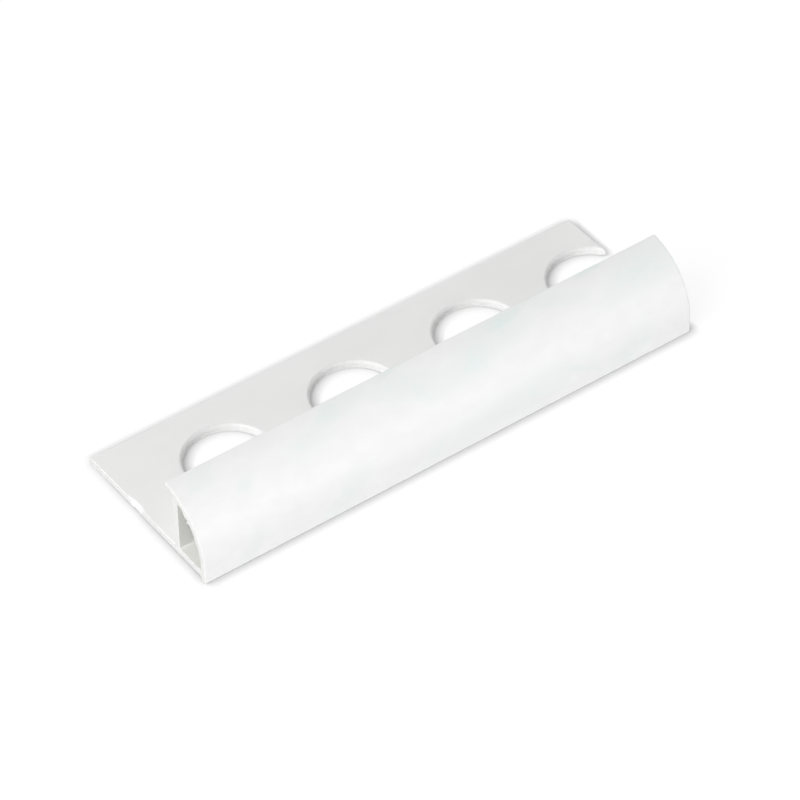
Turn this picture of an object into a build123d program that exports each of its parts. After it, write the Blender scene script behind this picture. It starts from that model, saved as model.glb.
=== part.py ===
from build123d import *
import os
from math import sqrt

os.makedirs("parts", exist_ok=True)

# Corner guard trim: one sawn sample of extruded quarter-round trim with a perforated leg.
# Millimetres. X runs along the length, Y from the nose's front to the leg's rear edge, Z up.
# The origin is under the middle of the sample, level with the bottom of the toe.

# Sample
sample_length = 71.5

# Leg, which is bedded under the tile
leg_thickness = 0.95
leg_reach = 17.85          # web's tile face to the leg's rear edge
leg_edge_round = 0.3

# Web, which the tile's edge stands against
web_setback = 6.15         # nose's front to the web's tile face
web_thickness = 1.0

# Nose, the curved face that shows
nose_radius = 8.65
nose_wall = 0.85
front_land = 2.05          # straight front face from the toe's bottom to the start of the curve

# Lip over the tile's face
lip_overhang = 1.3         # past the web's tile face
lip_tip = 0.5              # blunt thickness of the lip's edge
lip_root_depth = 1.25      # lip's top edge down to where its underside meets the web
lip_tip_round = 0.12

# Toe, the lip's match under the front
toe_drop = 0.65            # below the leg's underside
toe_width = 0.7
toe_splay = 0.4            # run of the sloped back of the toe
toe_round = 0.15

# Inside corners, as the die leaves them
root_round = 0.25          # at the web's foot, the lip's root and the toe's root
hollow_corner_round = 0.25

# Row of punched holes
hole_diameter = 11.0
hole_pitch = 18.4
first_hole = 13.15         # near end to the centre of the first whole hole
clipped_rim = 0.55         # bite of the hole before it, whose rim nicks the near end
last_hole_inset = 4.6      # far end to the centre of the hole that is sawn open
last_hole_shift = 0.7      # how much nearer the web the sawn-open hole is than the row
hole_setback = 8.1         # web's tile face to the row's centre line
rim_bevel_width = 0.45
rim_bevel_depth = 0.5
hole_bridge = 2.0          # least width left between neighbouring holes

# Clearance that lets a cutting body run past the face it cuts
run_past = 0.3

# Derived heights, from the toe's bottom
underside = toe_drop
leg_top = underside + leg_thickness
lip_edge_y = web_setback + lip_overhang


def nose_height(radius: float, y: float) -> float:
    """Height of an arc about the nose's centre at a distance y behind the front."""
    return front_land + sqrt(radius**2 - (nose_radius - y) ** 2)


lip_top = nose_height(nose_radius, lip_edge_y)
lip_bottom = lip_top - lip_tip
lip_root = lip_top - lip_root_depth
rear_edge = web_setback + leg_reach


def section() -> Sketch:
    """Outline of the extrusion with its hollow, drawn in the YZ plane from the nose's front."""
    mid_y = nose_radius * (1 - sqrt(0.5))
    nose_mid = (mid_y, nose_height(nose_radius, mid_y))
    toe_root = (toe_width + toe_splay, underside)
    outline = [
        (lip_edge_y, lip_top),
        (lip_edge_y, lip_bottom),
        (web_setback, lip_root),
        (web_setback, leg_top),
        (rear_edge, leg_top),
        (rear_edge, underside),
        toe_root,
        (toe_width, 0),
        (0, 0),
        (0, front_land),
    ]
    edges = ThreePointArc((0, front_land), nose_mid, (lip_edge_y, lip_top)) + Polyline(*outline)
    body = make_face(edges.edges())
    body = round_corners(body, [(web_setback, leg_top), (web_setback, lip_root), toe_root], root_round)
    body = round_corners(body, [(rear_edge, leg_top), (rear_edge, underside)], leg_edge_round)
    body = round_corners(body, [(lip_edge_y, lip_top), (lip_edge_y, lip_bottom)], lip_tip_round)
    body = round_corners(body, [(toe_width, 0), (0, 0)], toe_round)
    return body - hollow()


def hollow() -> Sketch:
    """The curved triangle between nose, web and leg."""
    bore = nose_radius - nose_wall
    web_inside = web_setback - web_thickness
    ring = Pos(nose_radius, front_land) * Circle(bore)
    front = Pos(web_inside / 2, leg_top + nose_radius / 2) * Rectangle(web_inside, nose_radius)
    shape = ring & front
    if front_land > leg_top:
        flank = Pos((nose_wall + web_inside) / 2, (leg_top + front_land) / 2)
        shape += flank * Rectangle(web_inside - nose_wall, front_land - leg_top)
    return fillet(shape.vertices(), hollow_corner_round)


def round_corners(face: Sketch, corners: list[tuple[float, float]], radius: float) -> Sketch:
    """Rounds the named corners of a flat outline."""
    picked = [v for v in face.vertices() if any(abs(v.X - y) + abs(v.Y - z) < 1e-6 for y, z in corners)]
    return fillet(picked, radius)


def hole_centres() -> list[tuple[float, float]]:
    """Places from the near end and from the web: one clipped hole, the whole holes, one sawn-open hole."""
    clipped = clipped_rim - rim_bevel_width - hole_diameter / 2
    last = sample_length - last_hole_inset
    spare = last - first_hole - hole_diameter - hole_bridge
    whole = int(spare // hole_pitch) + 1
    row = [clipped] + [first_hole + k * hole_pitch for k in range(whole)]
    return [(x, hole_setback) for x in row] + [(last, hole_setback - last_hole_shift)]


def hole_cutter() -> Part:
    """Punched bore with a bevelled upper rim, centred on the leg's top face."""
    bore_radius = hole_diameter / 2
    bore_length = leg_thickness + 2 * run_past
    bore = Pos(0, 0, -leg_thickness / 2) * Cylinder(bore_radius, bore_length)
    cone_height = rim_bevel_depth + run_past
    cone_radius = bore_radius + rim_bevel_width * cone_height / rim_bevel_depth
    return bore + Pos(0, 0, run_past - cone_height / 2) * Cone(bore_radius, cone_radius, cone_height)


def corner_trim() -> Part:
    """The sample: section drawn out to its length, then punched."""
    upright = Plane(origin=(0, 0, 0), x_dir=(0, 1, 0), z_dir=(1, 0, 0))
    stock = extrude(upright * section(), sample_length)
    row = [Pos(x, web_setback + y, leg_top) * hole_cutter() for x, y in hole_centres()]
    return Pos(-sample_length / 2, -rear_edge / 2, 0) * (stock - row)


trim = corner_trim()
trim.label = "corner_trim"
export_step(trim, "parts/corner_trim.step")
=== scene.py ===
import logging
import math
from dataclasses import dataclass, field
from enum import Enum
from typing import Any, Sequence, Union

import bmesh
import bpy
from mathutils import Euler, Matrix, Vector, noise
from mathutils.geometry import tessellate_polygon


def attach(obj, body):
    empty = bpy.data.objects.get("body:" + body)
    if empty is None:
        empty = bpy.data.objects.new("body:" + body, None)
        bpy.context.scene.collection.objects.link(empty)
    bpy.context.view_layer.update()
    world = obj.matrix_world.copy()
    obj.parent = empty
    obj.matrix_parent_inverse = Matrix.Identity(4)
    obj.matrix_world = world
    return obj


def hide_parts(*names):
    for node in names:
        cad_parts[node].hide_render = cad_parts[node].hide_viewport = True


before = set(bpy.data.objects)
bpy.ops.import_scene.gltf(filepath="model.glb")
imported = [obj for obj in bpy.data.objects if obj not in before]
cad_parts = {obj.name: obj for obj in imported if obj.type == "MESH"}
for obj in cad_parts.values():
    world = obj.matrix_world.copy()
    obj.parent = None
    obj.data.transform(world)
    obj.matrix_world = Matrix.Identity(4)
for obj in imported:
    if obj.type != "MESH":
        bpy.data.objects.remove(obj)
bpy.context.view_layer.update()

# Corner guard trim: a sawn sample of white quarter-round trim with a marbled nose and a punched leg.
# Sizes are millimetres in the part's own frame until a mesh is finished, and metres after that.

LOG = logging.getLogger("corner_trim")
MM = 0.001
Colour = tuple[float, float, float]
Pair = tuple[float, float]
Triple = tuple[float, float, float]
Operand = Union["Value", float]


class Surface(Enum):
    """How a stretch of the sample's surface was made; the number is its material slot."""

    SKIN = 0
    PLAIN = 1
    SAWN = 2
    PUNCHED = 3
    HOLLOW = 4


class Value:
    """A number that a shader works out, so that node maths reads as Python arithmetic."""

    def __init__(self, graph: "ShaderGraph", socket: bpy.types.NodeSocket) -> None:
        """Wraps one output socket of a graph."""
        self.graph = graph
        self.socket = socket

    def math(self, operation: str, *operands: Operand) -> "Value":
        """Adds one Math node on these operands."""
        return self.graph.value("ShaderNodeMath", {"operation": operation}, dict(enumerate(operands)))

    def __add__(self, other: Operand) -> "Value":
        """self + other."""
        return self.math("ADD", self, other)

    def __radd__(self, other: Operand) -> "Value":
        """other + self."""
        return self.math("ADD", other, self)

    def __sub__(self, other: Operand) -> "Value":
        """self - other."""
        return self.math("SUBTRACT", self, other)

    def __rsub__(self, other: Operand) -> "Value":
        """other - self."""
        return self.math("SUBTRACT", other, self)

    def __mul__(self, other: Operand) -> "Value":
        """self * other."""
        return self.math("MULTIPLY", self, other)

    def __rmul__(self, other: Operand) -> "Value":
        """other * self."""
        return self.math("MULTIPLY", other, self)

    def atan2(self, run: Operand) -> "Value":
        """Angle in radians of this rise over a run."""
        return self.math("ARCTAN2", self, run)

    def sine(self) -> "Value":
        """Sine of this angle in radians."""
        return self.math("SINE", self)

    def maximum(self, other: Operand) -> "Value":
        """The larger of two numbers."""
        return self.math("MAXIMUM", self, other)

    def power(self, exponent: Operand) -> "Value":
        """This number raised to an exponent."""
        return self.math("POWER", self, exponent)

    def fade(self, full: float, gone: float) -> "Value":
        """Smooth step from 1 where this number is `full` to 0 where it is `gone`."""
        settings = {"interpolation_type": "SMOOTHSTEP"}
        inputs = {"Value": self, "From Min": full, "From Max": gone, "To Min": 1.0, "To Max": 0.0}
        return self.graph.value("ShaderNodeMapRange", settings, inputs)


@dataclass(frozen=True)
class Grain:
    """A noise pattern: its cells in a millimetre along each axis, and its octaves."""

    cells: Triple
    detail: float = 2.0


class ShaderGraph:
    """The node tree of one material or of the world."""

    def __init__(self, tree: bpy.types.NodeTree) -> None:
        """Starts from an empty tree."""
        tree.nodes.clear()
        self.tree = tree

    def node(self, kind: str, settings: dict[str, Any], inputs: dict[Union[str, int], Any]) -> bpy.types.Node:
        """Adds one node.

        Args:
            kind: Blender's name for the type of node.
            settings: properties, such as an operation, which are set before the sockets.
            inputs: a value or a link for each socket, by its name or number.

        Returns:
            The new node.
        """
        made = self.tree.nodes.new(kind)
        for name, setting in settings.items():
            setattr(made, name, setting)
        for key, given in inputs.items():
            source = given.socket if isinstance(given, Value) else given
            if isinstance(source, bpy.types.NodeSocket):
                self.tree.links.new(source, made.inputs[key])
            else:
                made.inputs[key].default_value = source
        return made

    def value(
        self,
        kind: str,
        settings: dict[str, Any],
        inputs: dict[Union[str, int], Any],
        output: Union[str, int] = 0,
    ) -> Value:
        """Adds one node and wraps one of its outputs as a number."""
        return Value(self, self.node(kind, settings, inputs).outputs[output])

    def vector(self, operation: str, *operands: Any) -> bpy.types.NodeSocket:
        """Adds one Vector Math node on these operands and gives its vector."""
        made = self.node("ShaderNodeVectorMath", {"operation": operation}, dict(enumerate(operands)))
        return made.outputs[0]

    def mix_colour(self, factor: Operand, low: Any, high: Any) -> bpy.types.NodeSocket:
        """Mixes two colours, `low` where the factor is 0 and `high` where it is 1."""
        inputs = {0: factor, 6: opaque(low), 7: opaque(high)}
        return self.node("ShaderNodeMix", {"data_type": "RGBA"}, inputs).outputs[2]

    def place(self) -> bpy.types.NodeSocket:
        """The shaded point in the part's frame, in millimetres."""
        point = self.node("ShaderNodeTexCoord", {}, {}).outputs["Object"]
        return self.vector("MULTIPLY", point, (1 / MM, 1 / MM, 1 / MM))

    def split(self, vector: bpy.types.NodeSocket) -> tuple[Value, Value, Value]:
        """The three numbers of a vector."""
        parts = self.node("ShaderNodeSeparateXYZ", {}, {0: vector}).outputs
        return Value(self, parts[0]), Value(self, parts[1]), Value(self, parts[2])

    def noise(self, vector: bpy.types.NodeSocket, grain: Grain) -> bpy.types.Node:
        """Adds a noise texture of this grain."""
        scaled = self.vector("MULTIPLY", vector, grain.cells)
        return self.node("ShaderNodeTexNoise", {}, {"Vector": scaled, "Scale": 1.0, "Detail": grain.detail})

    def level(self, vector: bpy.types.NodeSocket, grain: Grain) -> Value:
        """The number from 0 to 1 of a noise texture of this grain."""
        return Value(self, self.noise(vector, grain).outputs[0])

    def bump(self, height: Value, depth: float, strength: float) -> bpy.types.NodeSocket:
        """A normal that follows a height of 0 to 1, `depth` millimetres deep."""
        inputs = {"Height": height, "Distance": depth * MM, "Strength": strength}
        return self.node("ShaderNodeBump", {}, inputs).outputs[0]

    def backdrop_rays(self) -> Value:
        """1 for rays that see the backdrop: straight from the camera, in a gloss, or through glass."""
        path = self.node("ShaderNodeLightPath", {}, {}).outputs
        kinds = ("Is Camera Ray", "Is Glossy Ray", "Is Transmission Ray")
        camera, glossy, through = (Value(self, path[kind]) for kind in kinds)
        return camera.maximum(glossy).maximum(through)

    def clearance(self, reach: float, towards: Triple, samples: int = 4) -> Value:
        """Share of the space round a direction that nothing within `reach` millimetres fills."""
        inputs = {"Distance": reach * MM, "Normal": self.vector("NORMALIZE", towards)}
        return self.value("ShaderNodeAmbientOcclusion", {"samples": samples}, inputs, "AO")


def opaque(colour: Any) -> Any:
    """Adds an alpha of 1 to a plain colour and leaves a socket as it is."""
    return (*colour, 1.0) if isinstance(colour, tuple) else colour


@dataclass(frozen=True)
class Finish:
    """One finish of the white PVC: its two colours, its gloss and its fine relief.

    The span is where a grain of 0 to 1 is all `colour`, and where it is all `shade`.
    """

    name: str
    colour: Colour
    shade: Colour
    roughness: float
    ior: float = 1.53
    span: Pair = (0.35, 0.7)
    gloss_spread: float = 0.15
    relief_depth: float = 0.015
    relief_strength: float = 0.35

    def material(self) -> bpy.types.Material:
        """Makes the material.

        Returns:
            A node material with this finish's colour, gloss and relief.
        """
        made = bpy.data.materials.new(self.name)
        made.use_nodes = True
        graph = ShaderGraph(made.node_tree)
        inputs = {"IOR": self.ior, **self.inputs(graph)}
        shader = graph.node("ShaderNodeBsdfPrincipled", {}, inputs)
        graph.node("ShaderNodeOutputMaterial", {}, {"Surface": shader.outputs[0]})
        return made

    def inputs(self, graph: ShaderGraph) -> dict[str, Any]:
        """Values and links for the shader's Base Color, Roughness and Normal."""
        raise NotImplementedError

    def tint(self, graph: ShaderGraph, grain: Value) -> bpy.types.NodeSocket:
        """Mixes the two colours by a grain."""
        return graph.mix_colour(grain.fade(*self.span), self.colour, self.shade)

    def dressed(
        self, graph: ShaderGraph, colour: bpy.types.NodeSocket, grain: Value, height: Value
    ) -> dict[str, Any]:
        """The shader's inputs for a colour, with a gloss that follows a grain and a relief of a height."""
        return {
            "Base Color": colour,
            "Roughness": self.roughness + self.gloss_spread * (grain - 0.5),
            "Normal": graph.bump(height, self.relief_depth, self.relief_strength),
        }


@dataclass(frozen=True)
class Vein:
    """One soft streak of the marbling on the unrolled nose.

    A place there is a length from the near end and a girth round the nose from the start of its curve.
    The streak is full out to `core` of its half size and gone at `rim` of it.
    """

    start: Pair
    end: Pair
    width: float
    strength: float
    core: float = 0.1
    rim: float = 1.25

    def mask(self, graph: ShaderGraph, unrolled: bpy.types.NodeSocket) -> Value:
        """Strength of the streak over the unrolled face."""
        run, rise = self.end[0] - self.start[0], self.end[1] - self.start[1]
        middle = ((self.start[0] + self.end[0]) / 2, (self.start[1] + self.end[1]) / 2, 0.0)
        inputs = {
            "Vector": unrolled,
            "Location": middle,
            "Rotation": (0.0, 0.0, math.atan2(rise, run)),
            "Scale": (math.hypot(run, rise) / 2, self.width, 1.0),
        }
        local = graph.node("ShaderNodeMapping", {"vector_type": "TEXTURE"}, inputs).outputs[0]
        away = graph.value("ShaderNodeVectorMath", {"operation": "LENGTH"}, {0: local}, "Value")
        return self.strength * away.fade(self.core, self.rim)


@dataclass(frozen=True)
class MarbledSkin(Finish):
    """The glossy front of the nose, faintly veined in a cool grey-green.

    The veins wander by `wander` millimetres, and their strength runs from `vein_floor` up by `vein_swing`.
    """

    span: Pair = (0.3, 0.7)
    gloss_spread: float = 0.08
    relief_depth: float = 0.01
    relief_strength: float = 0.25
    vein_colour: Colour = (0.735, 0.815, 0.797)
    vein_floor: float = 0.5
    vein_swing: float = 0.75
    vein_span: Pair = (0.66, 0.36)
    veins: tuple[Vein, ...] = ()
    curve_centre: Pair = (0.0, 0.0)
    radius: float = 1.0
    near_end: float = 0.0
    wander: Triple = (4.5, 2.7, 0.0)
    drift: Grain = Grain((0.16, 0.3, 0.0), 3.0)
    cloud: Grain = Grain((0.35, 0.6, 0.0), 4.0)
    satin: Grain = Grain((0.5, 1.5, 1.5))
    peel: Grain = Grain((0.9, 2.2, 2.2), 1.0)

    def inputs(self, graph: ShaderGraph) -> dict[str, Any]:
        """Veins that wander over the unrolled nose, and a gloss that is almost even."""
        place = graph.place()
        x, y, z = graph.split(place)
        girth = self.radius * (z - self.curve_centre[1]).atan2(self.curve_centre[0] - y)
        unrolled = graph.node("ShaderNodeCombineXYZ", {}, {0: x - self.near_end, 1: girth}).outputs[0]
        drift = graph.vector("SUBTRACT", graph.noise(unrolled, self.drift).outputs[1], (0.5, 0.5, 0.5))
        warped = graph.vector("ADD", unrolled, graph.vector("MULTIPLY", drift, self.wander))
        marble = self.veins[0].mask(graph, warped)
        for vein in self.veins[1:]:
            marble = marble.maximum(vein.mask(graph, warped))
        cloud = graph.level(unrolled, self.cloud)
        strength = marble * (self.vein_floor + self.vein_swing * cloud.fade(*self.vein_span))
        colour = graph.mix_colour(strength, self.tint(graph, cloud), self.vein_colour)
        return self.dressed(graph, colour, graph.level(place, self.satin), graph.level(place, self.peel))


@dataclass(frozen=True)
class ExtrudedPvc(Finish):
    """Plain white PVC as it leaves the die, with faint lines along its length."""

    span: Pair = (0.35, 0.65)
    gloss_spread: float = 0.12
    relief_depth: float = 0.012
    mottle: Grain = Grain((0.12, 0.25, 0.25), 3.0)
    lines: Grain = Grain((0.03, 3.5, 3.5))

    def inputs(self, graph: ShaderGraph) -> dict[str, Any]:
        """A near-even white with hair lines that run along the length."""
        place = graph.place()
        mottle = graph.level(place, self.mottle)
        lines = graph.level(place, self.lines)
        return self.dressed(graph, self.tint(graph, mottle), lines, lines)


@dataclass(frozen=True)
class SawnPvc(Finish):
    """A saw-cut face: dull, with the blade's lines across it; its darker white is painted shade."""

    gloss_spread: float = 0.2
    relief_depth: float = 0.04
    relief_strength: float = 0.4
    line_pitch: float = 0.33
    line_slope: float = 0.45
    line_wander: float = 0.35
    line_share: float = 0.5
    torn: Grain = Grain((1.0, 3.0, 3.0), 3.0)

    def inputs(self, graph: ShaderGraph) -> dict[str, Any]:
        """Slanted saw lines that wander, over torn specks."""
        place = graph.place()
        _, y, z = graph.split(place)
        torn = graph.level(place, self.torn)
        across = z + self.line_slope * y + self.line_wander * torn
        lines = 0.5 + 0.5 * (across * (2 * math.pi / self.line_pitch)).sine()
        return self.dressed(graph, self.tint(graph, torn), torn, self.line_share * lines + torn)


@dataclass(frozen=True)
class PunchedPvc(Finish):
    """The wall of a punched hole: drawn lines along the stroke of the punch."""

    drawn: Grain = Grain((3.0, 3.0, 0.5))

    def inputs(self, graph: ShaderGraph) -> dict[str, Any]:
        """Upright lines round the wall, over a white set darker for painted shade in the holes."""
        drawn = graph.level(graph.place(), self.drawn)
        return self.dressed(graph, self.tint(graph, drawn), drawn, drawn)


@dataclass(frozen=True)
class Corner:
    """A corner of an outline, its rounding, and the surface of the wall that leaves it."""

    y: float
    z: float
    radius: float = 0.0
    surface: Surface = Surface.PLAIN

    @property
    def at(self) -> Vector:
        """The corner as a flat vector."""
        return Vector((self.y, self.z))


@dataclass
class Loop:
    """A closed outline of the section, with the solid on the right of its walls."""

    points: list[Vector]
    surfaces: list[Surface]

    @classmethod
    def rounded(cls, corners: Sequence[Corner], spacing: float, steps: int = 6) -> "Loop":
        """Rounds an outline's corners and divides its long walls.

        Args:
            corners: the outline in order.
            spacing: longest wall that stays undivided.
            steps: facets in each rounded corner.

        Returns:
            The finished loop.
        """
        ring: list[tuple[Vector, Surface]] = []
        for k, corner in enumerate(corners):
            back = corners[k - 1].at - corner.at
            ahead = corners[(k + 1) % len(corners)].at - corner.at
            ring += [(p, corner.surface) for p in corner_arc(corner.at, back, ahead, corner.radius, steps)]
        loop = cls([], [])
        for (start, surface), (end, _) in zip(ring, ring[1:] + ring[:1]):
            parts = max(1, math.ceil((end - start).length / spacing))
            loop.points += [start.lerp(end, k / parts) for k in range(parts)]
            loop.surfaces += [surface] * parts
        return loop

    def normals(self) -> list[Vector]:
        """Unit vectors that point out of the solid at each point."""
        found = []
        for k in range(len(self.points)):
            along = self.points[(k + 1) % len(self.points)] - self.points[k - 1]
            found.append(Vector((-along.y, along.x)).normalized())
        return found


def corner_arc(at: Vector, back: Vector, ahead: Vector, radius: float, steps: int) -> list[Vector]:
    """Points of a rounded corner.

    Args:
        at: the sharp corner.
        back: vector to the corner before.
        ahead: vector to the corner after.
        radius: radius of the rounding, or 0 for a sharp corner.
        steps: facets of the arc.

    Returns:
        The points in order, or the corner itself where it is sharp.
    """
    if not radius:
        return [at]
    half = back.angle(ahead) / 2
    middle = (back.normalized() + ahead.normalized()).normalized()
    centre = at + middle * (radius / math.sin(half))
    first = at + back.normalized() * (radius / math.tan(half)) - centre
    last = at + ahead.normalized() * (radius / math.tan(half)) - centre
    turn = math.atan2(first.x * last.y - first.y * last.x, first.dot(last))
    return [centre + Matrix.Rotation(turn * k / steps, 2) @ first for k in range(steps + 1)]


@dataclass(frozen=True)
class Section:
    """The extrusion's cross-section: nose, lip, web, toe and leg.

    The front is at y 0 and the toe's bottom at z 0.
    """

    leg_thickness: float = 0.95
    leg_reach: float = 17.85
    leg_edge_round: float = 0.3
    web_setback: float = 6.15
    web_thickness: float = 1.0
    nose_radius: float = 8.65
    nose_wall: float = 0.85
    front_land: float = 2.05
    lip_overhang: float = 1.3
    lip_tip: float = 0.5
    lip_root_depth: float = 1.25
    lip_tip_round: float = 0.12
    toe_drop: float = 0.65
    toe_width: float = 0.7
    toe_splay: float = 0.4
    toe_round: float = 0.15
    root_round: float = 0.25
    hollow_corner_round: float = 0.25
    arc_facets: int = 56
    spacing: float = 0.2

    @property
    def leg_top(self) -> float:
        """Height of the leg's upper face."""
        return self.toe_drop + self.leg_thickness

    @property
    def rear_edge(self) -> float:
        """Distance from the front to the leg's rear edge."""
        return self.web_setback + self.leg_reach

    def arc_height(self, radius: float, y: float) -> float:
        """Height of an arc about the nose's centre at a distance y behind the front."""
        return self.front_land + math.sqrt(radius**2 - (self.nose_radius - y) ** 2)

    def arc(self, radius: float, end: float, surface: Surface) -> list[Corner]:
        """Facets of an arc about the nose's centre, from the front land back to a depth `end`."""
        sweep = math.acos((self.nose_radius - end) / radius)
        made = []
        for k in range(self.arc_facets):
            turn = sweep * k / self.arc_facets
            y = self.nose_radius - radius * math.cos(turn)
            made.append(Corner(y, self.front_land + radius * math.sin(turn), 0.0, surface))
        return made

    def outline(self) -> Loop:
        """The outer outline, clockwise from the lip when the near end is looked at."""
        lip_y = self.web_setback + self.lip_overhang
        lip_top = self.arc_height(self.nose_radius, lip_y)
        corners = [
            *self.arc(self.nose_radius, lip_y, Surface.SKIN),
            Corner(lip_y, lip_top, self.lip_tip_round, Surface.SKIN),
            Corner(lip_y, lip_top - self.lip_tip, self.lip_tip_round),
            Corner(self.web_setback, lip_top - self.lip_root_depth, self.root_round),
            Corner(self.web_setback, self.leg_top, self.root_round),
            Corner(self.rear_edge, self.leg_top, self.leg_edge_round),
            Corner(self.rear_edge, self.toe_drop, self.leg_edge_round),
            Corner(self.toe_width + self.toe_splay, self.toe_drop, self.root_round),
            Corner(self.toe_width, 0.0, self.toe_round),
            Corner(0.0, 0.0, self.toe_round, Surface.SKIN),
        ]
        return Loop.rounded(corners, self.spacing)

    def hollow(self) -> Loop:
        """The curved triangle between nose, web and leg."""
        inside = self.web_setback - self.web_thickness
        bore = self.nose_radius - self.nose_wall
        rounding = self.hollow_corner_round
        corners = [
            Corner(self.nose_wall, self.leg_top, rounding, Surface.HOLLOW),
            *self.arc(bore, inside, Surface.HOLLOW),
            Corner(inside, self.arc_height(bore, inside), rounding, Surface.HOLLOW),
            Corner(inside, self.leg_top, rounding, Surface.HOLLOW),
        ]
        return Loop.rounded(corners[::-1], self.spacing)


@dataclass(frozen=True)
class Chip:
    """A small bite out of a sawn edge.

    Its place is measured from the near end, the front and the toe's bottom, and its size is a half size.
    """

    place: Triple
    size: Triple


@dataclass(frozen=True)
class SawnEnds:
    """How the saw left both ends: a thin edge break, wider at the far end, and a burr, less of it there.

    The hollow is torn where its wall slants by more than `torn_slant`, over a fade of `torn_fade`; a slant is
    0.5 at 45 degrees. The burr has teeth of one size, and on them teeth that are `small_teeth` times as fine.
    Along the length the teeth change `lengthwise` times a millimetre.
    """

    edge_break: float = 0.05
    far_break: float = 0.2
    break_steps: int = 4
    hollow_burr: float = 1.0
    far_share: float = 0.2
    hollow_wear: float = 0.3
    outer_wear: float = 0.1
    tooth: float = 0.36
    small_teeth: float = 2.3
    small_share: float = 0.5
    lengthwise: float = 0.37
    torn_slant: float = 0.33
    torn_fade: float = 0.07
    least_torn: float = 0.15
    chips: tuple[Chip, ...] = ()

    def stations(self, length: float, inner: int) -> list[Triple]:
        """Places along the length where the section is set.

        Args:
            length: length of the sample.
            inner: plain stations between the two ends.

        Returns:
            For each station its place along the length, its inset, and its share of the burr.
        """
        middle = [(length * (k + 1) / (inner + 1), 0.0, 0.0) for k in range(inner)]
        worn = reversed(self.rounding(self.far_break))
        far = [(length - x, inset, share * self.far_share) for x, inset, share in worn]
        return self.rounding(self.edge_break) + middle + far

    def rounding(self, size: float) -> list[Triple]:
        """Depth, inset and share of the burr at each step of one broken edge, from the cut inwards."""
        turns = [math.pi / 2 * k / self.break_steps for k in range(self.break_steps + 1)]
        return [(size * (1 - math.cos(t)), size * (1 - math.sin(t)), math.cos(t) ** 2) for t in turns]

    def burr(self, x: float, point: Vector, normal: Vector, hollow: bool) -> float:
        """How far the cut edge stands out of the solid.

        Args:
            x: place along the length.
            point: point of the section.
            normal: the section's outward normal there.
            hollow: whether the point is on the hollow, where the saw tore the inside of the nose.

        Returns:
            The burr's height, below 0 where the edge is worn.
        """
        spot = Vector((point.x / self.tooth, point.y / self.tooth, x * self.lengthwise))
        wave = noise.noise(spot) + self.small_share * noise.noise(spot * self.small_teeth)
        if not hollow:
            return -self.outer_wear * abs(wave)
        slant = -normal.x * normal.y
        torn = min(max((slant - self.torn_slant) / self.torn_fade, self.least_torn), 1.0)
        return torn * wave * (self.hollow_burr if wave > 0 else self.hollow_wear)


@dataclass(frozen=True)
class HoleRow:
    """The row of punched holes in the leg, each with a rolled-over upper rim and a fine burr below.

    The rim's curve ends `rim_skim` above the leg, so that the cut never lies in the leg's own face.
    """

    diameter: float = 11.0
    pitch: float = 18.4
    first: float = 13.15
    clipped_rim: float = 0.55
    last_inset: float = 4.6
    last_shift: float = 0.7
    setback: float = 8.1
    bevel_width: float = 0.45
    bevel_depth: float = 0.5
    bevel_steps: int = 9
    rim_skim: float = 0.002
    groove_depth: float = 0.1
    groove_height: float = 0.14
    burr_drop: float = 0.1
    burr_width: float = 0.14
    burr_tip: float = 0.03
    facets: int = 144
    run_past: float = 0.3

    def centres(self, length: float) -> list[Pair]:
        """Places from the near end and the web: a clipped hole, the whole holes, and a sawn-open hole."""
        clipped = self.clipped_rim - self.bevel_width - self.diameter / 2
        last = length - self.last_inset
        whole = int((last - self.first - self.diameter) // self.pitch) + 1
        row = [clipped] + [self.first + k * self.pitch for k in range(whole)]
        return [(x, self.setback) for x in row] + [(last, self.setback - self.last_shift)]

    def profile(self, thickness: float) -> list[Vector]:
        """Half section of the punch as radius and height above the leg's upper face, from below upwards."""
        bore = self.diameter / 2
        foot = Vector((bore, -thickness - self.run_past))
        waist = Vector((bore, -self.bevel_depth))
        groove = Vector((bore + self.groove_depth, waist.y - self.groove_height / 2))
        line = [foot, waist - Vector((0.0, self.groove_height)), groove]
        for k in range(self.bevel_steps + 1):
            turn = math.pi / 2 * k / self.bevel_steps
            rise = (self.bevel_depth + self.rim_skim) * math.sin(turn)
            line.append(waist + Vector((self.bevel_width * (1 - math.cos(turn)), rise)))
        line.append(Vector((line[-1].x, self.run_past)))
        return line

    def burr(self, thickness: float) -> list[Vector]:
        """Closed half section of the burr under the leg, which is sunk into the leg and into the bore."""
        bore = self.diameter / 2
        sunk = self.burr_drop - thickness
        tip = -thickness - self.burr_drop
        inner, outer = bore - self.burr_width, bore + self.burr_width
        return [
            Vector((inner, sunk)),
            Vector((inner, tip)),
            Vector((bore + self.burr_tip, tip)),
            Vector((outer, self.burr_tip - thickness)),
            Vector((outer, sunk)),
        ]

    def burr_turns(self, room: float) -> tuple[list[float], bool]:
        """Where a hole's burr stands, off the punch's own facets, so that no faces of the two coincide.

        Args:
            room: distance from the hole's centre to the far end of the sound edge.

        Returns:
            Angles round the hole, and whether they go all the way round.
        """
        reach = self.diameter / 2 + self.burr_width
        if room >= reach:
            return [2 * math.pi * (k + 0.5) / self.facets for k in range(self.facets)], True
        start = math.acos(room / reach)
        step = 2 * (math.pi - start) / (self.facets - 1)
        return [start + step * k for k in range(self.facets)], False


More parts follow.
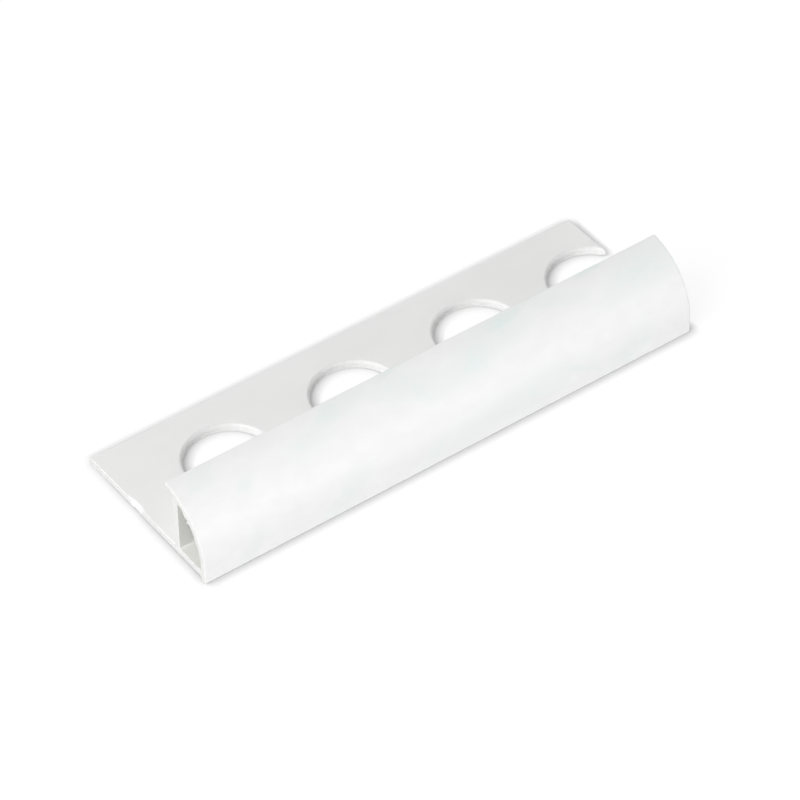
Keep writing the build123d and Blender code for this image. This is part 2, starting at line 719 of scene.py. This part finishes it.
@dataclass
class TrimSample:
    """The sample itself: the section drawn out to its length, sawn at both ends and punched."""

    length: float = 71.5
    inner_stations: int = 11
    section: Section = field(default_factory=Section)
    ends: SawnEnds = field(default_factory=SawnEnds)
    holes: HoleRow = field(default_factory=HoleRow)
    sharp_angle: float = 28.0

    @property
    def corner(self) -> Vector:
        """The part frame's place for the near end of the front, level with the toe's bottom."""
        return Vector((-self.length / 2, -self.section.rear_edge / 2, 0.0))

    def stock(self) -> bpy.types.Mesh:
        """Draws the section out to the sample's length.

        Returns:
            A closed mesh in millimetres, with a material slot number on each face.
        """
        loops = [(self.section.outline(), False), (self.section.hollow(), True)]
        stations = self.ends.stations(self.length, self.inner_stations)
        shell = bmesh.new()
        rings: list[list[list[bmesh.types.BMVert]]] = []
        for loop, hollow in loops:
            normals = loop.normals()
            rings.append([])
            for x, inset, share in stations:
                ring = []
                for point, normal in zip(loop.points, normals):
                    out = share * self.ends.burr(x, point, normal, hollow) - inset
                    flat = point + normal * out
                    ring.append(shell.verts.new(self.corner + Vector((x, flat.x, flat.y))))
                rings[-1].append(ring)
        for (loop, _), tube in zip(loops, rings):
            for near, far in zip(tube, tube[1:]):
                for k, surface in enumerate(loop.surfaces):
                    after = (k + 1) % len(near)
                    face = shell.faces.new((near[k], near[after], far[after], far[k]))
                    face.material_index = surface.value
        for end in (0, -1):
            cut = [tube[end] for tube in rings]
            verts = [v for ring in cut for v in ring]
            for triple in tessellate_polygon([[v.co for v in ring] for ring in cut]):
                face = shell.faces.new([verts[k] for k in triple])
                face.material_index = Surface.SAWN.value
        return as_mesh(shell, "corner_trim_stock")

    def burrs(self) -> bpy.types.Mesh:
        """The burrs that the punch left under the leg, apart from the clipped hole's.

        Returns:
            A mesh of closed bodies in millimetres.
        """
        body = bmesh.new()
        outline = self.holes.burr(self.section.leg_thickness)
        for x, y in self.holes.centres(self.length)[1:]:
            middle = Vector((x, self.section.web_setback + y, self.section.leg_top))
            turns, whole = self.holes.burr_turns(self.length - self.ends.far_break - x)
            sweep_ring(body, outline, self.corner + middle, turns, whole)
        for face in body.faces:
            face.material_index = Surface.PUNCHED.value
        return as_mesh(body, "corner_trim_burrs")

    def punches(self) -> bpy.types.Mesh:
        """All that is taken out of the stock: the punched holes and the chips.

        Returns:
            A mesh of closed bodies in millimetres.
        """
        body = bmesh.new()
        profile = self.holes.profile(self.section.leg_thickness)
        for x, y in self.holes.centres(self.length):
            middle = Vector((x, self.section.web_setback + y, self.section.leg_top))
            revolve(body, profile, self.corner + middle, self.holes.facets)
        for face in body.faces:
            face.material_index = Surface.PUNCHED.value
        for chip in self.ends.chips:
            place = Matrix.Translation(self.corner + Vector(chip.place))
            made = bmesh.ops.create_icosphere(
                body, subdivisions=2, radius=1.0, matrix=place @ Matrix.Diagonal((*chip.size, 1.0))
            )
            for face in {f for v in made["verts"] for f in v.link_faces}:
                face.material_index = Surface.SAWN.value
        return as_mesh(body, "corner_trim_punches")

    def build(self, finishes: dict[Surface, Finish]) -> bpy.types.Object:
        """Builds and dresses the sample.

        Args:
            finishes: the finish of each kind of surface.

        Returns:
            The sample as one object in metres, which stands for the CAD node.
        """
        materials = [finishes[surface].material() for surface in Surface]
        stock, burrs, punches = self.stock(), self.burrs(), self.punches()
        for mesh in (stock, burrs, punches):
            for material in materials:
                mesh.materials.append(material)
        sample = as_object(stock, "corner_trim_sample")
        tools = []
        for mesh, operation in ((burrs, "UNION"), (punches, "DIFFERENCE")):
            tools.append(as_object(mesh, mesh.name))
            step = sample.modifiers.new(mesh.name, "BOOLEAN")
            step.operation = operation
            step.solver = "EXACT"
            step.object = tools[-1]
        graph = bpy.context.evaluated_depsgraph_get()
        mesh = bpy.data.meshes.new_from_object(sample.evaluated_get(graph))
        sample.modifiers.clear()
        sample.data = mesh
        for tool in tools:
            bpy.data.objects.remove(tool)
        for spent in (stock, burrs, punches):
            bpy.data.meshes.remove(spent)
        mesh.name = "corner_trim_sample"
        mesh.transform(Matrix.Scale(MM, 4))
        for polygon in mesh.polygons:
            polygon.use_smooth = True
        mesh.set_sharp_from_angle(angle=math.radians(self.sharp_angle))
        even = sample.modifiers.new("even_normals", "WEIGHTED_NORMAL")
        even.keep_sharp = True
        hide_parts("corner_trim")
        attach(sample, "root")
        return sample


def revolve(body: bmesh.types.BMesh, profile: Sequence[Vector], middle: Vector, facets: int) -> None:
    """Adds a closed body of revolution about an upright axis.

    Args:
        body: the mesh that gets the body.
        profile: radius and height of each ring, from below upwards.
        middle: where the axis meets height 0.
        facets: sides of each ring.
    """
    rings = []
    for point in profile:
        turns = [2 * math.pi * k / facets for k in range(facets)]
        offsets = [Vector((point.x * math.cos(t), point.x * math.sin(t), point.y)) for t in turns]
        rings.append([body.verts.new(middle + offset) for offset in offsets])
    for lower, upper in zip(rings, rings[1:]):
        for k in range(facets):
            after = (k + 1) % facets
            body.faces.new((lower[k], lower[after], upper[after], upper[k]))
    body.faces.new(rings[0][::-1])
    body.faces.new(rings[-1])


def sweep_ring(
    body: bmesh.types.BMesh, outline: Sequence[Vector], middle: Vector, turns: Sequence[float], whole: bool
) -> None:
    """Adds a closed ring, or a stretch of one, about an upright axis.

    Args:
        body: the mesh that gets the ring.
        outline: radius and height of each corner of the ring's section.
        middle: where the axis meets height 0.
        turns: angles at which the section is set.
        whole: whether the last section joins the first.
    """
    rings = []
    for turn in turns:
        offsets = [Vector((p.x * math.cos(turn), p.x * math.sin(turn), p.y)) for p in outline]
        rings.append([body.verts.new(middle + offset) for offset in offsets])
    for here, there in zip(rings, rings[1:] + rings[:1] if whole else rings[1:]):
        for k in range(len(outline)):
            after = (k + 1) % len(outline)
            body.faces.new((here[k], here[after], there[after], there[k]))
    if not whole:
        body.faces.new(rings[0])
        body.faces.new(rings[-1][::-1])


def as_mesh(source: bmesh.types.BMesh, name: str) -> bpy.types.Mesh:
    """Turns a work mesh into a mesh with its faces all facing outwards."""
    bmesh.ops.recalc_face_normals(source, faces=source.faces[:])
    mesh = bpy.data.meshes.new(name)
    source.to_mesh(mesh)
    source.free()
    return mesh


def as_object(mesh: bpy.types.Mesh, name: str) -> bpy.types.Object:
    """Puts a mesh into the scene."""
    made = bpy.data.objects.new(name, mesh)
    bpy.context.scene.collection.objects.link(made)
    return made


@dataclass(frozen=True)
class Softbox:
    """A rectangle of soft light that faces the sample.

    The bearing is in degrees from +X towards +Y, and the height in degrees above the part's own level.
    The distance and the lamp's two sizes are in metres.
    """

    name: str
    bearing: float
    height: float
    distance: float
    width: float
    depth: float
    watts: float

    def build(self) -> bpy.types.Object:
        """Makes the lamp, aims it at the origin and hides it from the camera."""
        lamp = bpy.data.lights.new(self.name, "AREA")
        lamp.shape = "RECTANGLE"
        lamp.size, lamp.size_y = self.width, self.depth
        lamp.energy = self.watts
        made = bpy.data.objects.new(self.name, lamp)
        turn, rise = math.radians(self.bearing), math.radians(self.height)
        out = Vector((math.cos(turn) * math.cos(rise), math.sin(turn) * math.cos(rise), math.sin(rise)))
        made.location = out * self.distance
        made.rotation_euler = (-out).to_track_quat("-Z", "Y").to_euler()
        made.visible_camera = False
        bpy.context.scene.collection.objects.link(made)
        return made


@dataclass(frozen=True)
class Viewpoint:
    """The photograph's camera: where it looks, from how far, and its focal length in picture widths.

    The bearing is in degrees from -Y towards -X, and the height in degrees above the part's own level.
    """

    target: Triple = (-0.151, -1.136, 0.65)
    bearing: float = 35.94
    height: float = 43.36
    roll: float = -0.63
    distance: float = 486.92
    focal_widths: float = 4071.3 / 800
    sensor: float = 36.0
    clip_start: float = 10.0
    clip_end: float = 20000.0

    def build(self) -> bpy.types.Object:
        """Makes the camera and gives it to the scene."""
        turn, rise, roll = (math.radians(a) for a in (self.bearing, self.height, self.roll))
        back = Vector((-math.sin(turn) * math.cos(rise), -math.cos(turn) * math.cos(rise), math.sin(rise)))
        level = (-back).cross(Vector((0, 0, 1))).normalized()
        upright = level.cross(-back)
        right = math.cos(roll) * level + math.sin(roll) * upright
        up = math.cos(roll) * upright - math.sin(roll) * level
        data = bpy.data.cameras.new("viewpoint")
        data.sensor_width = self.sensor
        data.lens = self.focal_widths * self.sensor
        data.clip_start = self.clip_start * MM
        data.clip_end = self.clip_end * MM
        made = bpy.data.objects.new("viewpoint", data)
        place = Matrix((right, up, back)).transposed().to_4x4()
        place.translation = (Vector(self.target) + back * self.distance) * MM
        made.matrix_world = place
        bpy.context.scene.collection.objects.link(made)
        bpy.context.scene.camera = made
        return made


@dataclass
class Studio:
    """Plain pale floor, soft lamps and the photograph's camera."""

    floor_size: float = 4000.0
    floor_gap: float = 0.01
    floor_colour: Colour = (0.87, 0.87, 0.87)
    floor_shadow: float = 0.16
    floor_glow: float = 0.87
    contact_reach: float = 1.5
    contact_lean: Triple = (-0.68, -0.3, 0.67)
    contact_depth: float = 1.15
    halo_reach: float = 1.6
    halo_depth: float = 0.3
    horizon: float = 1.0
    zenith: float = 0.29
    far_dimming: float = 0.5
    lamps: tuple[Softbox, ...] = (
        Softbox("front_softbox", -80.0, 15.0, 0.9, 0.4, 0.4, 1.4),
        Softbox("left_softbox", 197.5, 44.0, 0.9, 0.5, 0.5, 5.0),
    )
    viewpoint: Viewpoint = field(default_factory=Viewpoint)

    def floor_material(self) -> bpy.types.Material:
        """A pale floor that the camera sees as white, apart from the sample's shadow."""
        made = bpy.data.materials.new("pale_floor")
        made.use_nodes = True
        graph = ShaderGraph(made.node_tree)
        plain = graph.node("ShaderNodeBsdfDiffuse", {}, {"Color": opaque(self.floor_colour)})
        shaded = graph.node("ShaderNodeBsdfDiffuse", {}, {"Color": (self.floor_shadow,) * 3 + (1.0,)})
        # The camera sees the floor's glow darkened by ambient occlusion near the sample, leaning towards the
        # left lamp: a painted contact shadow and a painted halo, over the real shadow of the shaded diffuse
        # share.
        painted_contact_shadow = graph.clearance(self.contact_reach, self.contact_lean).power(self.contact_depth)
        painted_halo_shadow = 1 - self.halo_depth * (1 - graph.clearance(self.halo_reach, (0.0, 0.0, 1.0)))
        glow = graph.node("ShaderNodeEmission", {}, {"Strength": self.floor_glow * painted_contact_shadow * painted_halo_shadow})
        white = graph.node("ShaderNodeAddShader", {}, {0: shaded.outputs[0], 1: glow.outputs[0]})
        shaders = {0: graph.backdrop_rays(), 1: plain.outputs[0], 2: white.outputs[0]}
        mixed = graph.node("ShaderNodeMixShader", {}, shaders)
        graph.node("ShaderNodeOutputMaterial", {}, {"Surface": mixed.outputs[0]})
        return made

    def floor(self, section: Section) -> bpy.types.Object:
        """Makes the floor as the sample lies on it, on its toe and on the leg's rear edge.

        Args:
            section: the section whose feet touch the floor.

        Returns:
            The floor.
        """
        toe = Vector((section.toe_width - section.toe_round - section.rear_edge / 2, 0.0))
        heel = Vector((section.rear_edge / 2 - section.leg_edge_round, section.toe_drop))
        tilt = math.atan2(heel.y - toe.y, heel.x - toe.x)
        sheet = bmesh.new()
        bmesh.ops.create_grid(sheet, x_segments=1, y_segments=1, size=self.floor_size / 2 * MM)
        made = as_object(as_mesh(sheet, "floor"), "floor")
        made.rotation_euler = Euler((tilt, 0.0, 0.0))
        made.location = (0.0, 0.0, (toe.y - toe.x * math.tan(tilt) - self.floor_gap) * MM)
        made.data.materials.append(self.floor_material())
        return made

    def world(self) -> bpy.types.World:
        """A soft sky, dimmer overhead and past the far end, that the camera sees as plain white."""
        made = bpy.data.worlds.new("sky")
        made.use_nodes = True
        bpy.context.scene.world = made
        graph = ShaderGraph(made.node_tree)
        towards = graph.node("ShaderNodeTexCoord", {}, {}).outputs["Generated"]
        along, _, up = graph.split(towards)
        height = self.horizon + (self.zenith - self.horizon) * up.maximum(0.0)
        strength = height * (1 - self.far_dimming * along.maximum(0.0))
        white = opaque((1.0, 1.0, 1.0))
        light = graph.node("ShaderNodeBackground", {}, {"Color": white, "Strength": strength})
        plain = graph.node("ShaderNodeBackground", {}, {"Color": white, "Strength": 1.0})
        shaders = {0: graph.backdrop_rays(), 1: light.outputs[0], 2: plain.outputs[0]}
        mixed = graph.node("ShaderNodeMixShader", {}, shaders)
        graph.node("ShaderNodeOutputWorld", {}, {"Surface": mixed.outputs[0]})
        return made

    def build(self, section: Section) -> None:
        """Makes the floor, the light and the camera round the sample."""
        bpy.context.scene.view_settings.view_transform = "Standard"
        self.floor(section)
        self.world()
        for lamp in self.lamps:
            lamp.build()
        self.viewpoint.build()


def marbling() -> tuple[Vein, ...]:
    """The veins of the nose: the upper ones run to the lip, the lower ones to the toe."""
    return (
        Vein((1.5, 9.6), (6.0, 12.2), 1.2, 0.5),
        Vein((7.0, 6.8), (9.8, 9.0), 1.0, 0.45),
        Vein((13.5, 8.0), (22.0, 9.4), 1.9, 0.4),
        Vein((17.0, 9.4), (28.0, 12.0), 1.5, 0.5),
        Vein((27.0, 10.6), (39.0, 7.0), 2.0, 0.45),
        Vein((28.5, 11.4), (33.5, 12.4), 0.8, 0.8),
        Vein((33.0, 7.0), (52.0, 11.0), 2.2, 0.5),
        Vein((40.0, 10.4), (54.0, 12.2), 1.1, 0.75),
        Vein((51.0, 11.6), (59.0, 9.6), 1.3, 0.4),
        Vein((58.5, 11.6), (64.0, 12.3), 0.7, 0.8),
        Vein((59.0, 7.6), (75.0, 10.2), 2.7, 0.5),
        Vein((5.5, -2.4), (8.5, 2.4), 1.7, 0.4),
        Vein((16.5, -2.4), (24.0, 3.2), 1.9, 0.4),
        Vein((30.0, -2.2), (36.0, 2.0), 1.6, 0.35),
        Vein((34.0, 0.4), (57.0, 2.0), 3.0, 0.4),
        Vein((50.5, 3.0), (58.0, -0.4), 0.8, 0.5),
        Vein((58.5, -1.8), (66.5, 3.0), 2.2, 0.4),
    )


def finishes(sample: TrimSample) -> dict[Surface, Finish]:
    """The finish of each kind of surface, with the marbling laid on the sample's nose, and painted shade in
    the darker sawn, punched and hollow whites.
    """
    section = sample.section
    skin = MarbledSkin(
        "marbled_skin",
        (0.855, 0.856, 0.854),
        (0.832, 0.834, 0.831),
        0.42,
        veins=marbling(),
        curve_centre=(sample.corner.y + section.nose_radius, section.front_land),
        radius=section.nose_radius,
        near_end=sample.corner.x,
    )
    return {
        Surface.SKIN: skin,
        Surface.PLAIN: ExtrudedPvc("extruded_pvc", (0.901, 0.901, 0.896), (0.884, 0.884, 0.879), 0.38),
        # The sawn white is well below the plain PVC's: painted shade on the end faces and the chip, which
        # face the left lamp.
        Surface.SAWN: SawnPvc("sawn_pvc_painted_shade", (0.752, 0.752, 0.744), (0.72, 0.72, 0.711), 0.6),
        # The punched white is below the plain PVC's: painted shade on the hole walls.
        Surface.PUNCHED: PunchedPvc("punched_pvc_painted_shade", (0.85, 0.851, 0.847), (0.82, 0.822, 0.818), 0.45),
        # The hollow's white is darker and warmer than the plain PVC's: painted shade inside the hollow.
        Surface.HOLLOW: ExtrudedPvc("hollow_pvc_painted_shade", (0.82, 0.82, 0.793), (0.79, 0.79, 0.762), 0.5),
    }


def main() -> None:
    """Builds the sample, then the studio round it."""
    logging.basicConfig(level=logging.INFO, format="%(name)s: %(message)s")
    chip = Chip((0.0, 20.1, 1.1), (0.22, 0.2, 0.42))
    sample = TrimSample(ends=SawnEnds(chips=(chip,)))
    made = sample.build(finishes(sample))
    LOG.info("%s: %d faces, replaces corner_trim", made.name, len(made.data.polygons))
    Studio().build(sample.section)
    LOG.info("studio: floor, sky, lamps and viewpoint")


if __name__ == "__main__":
    main()
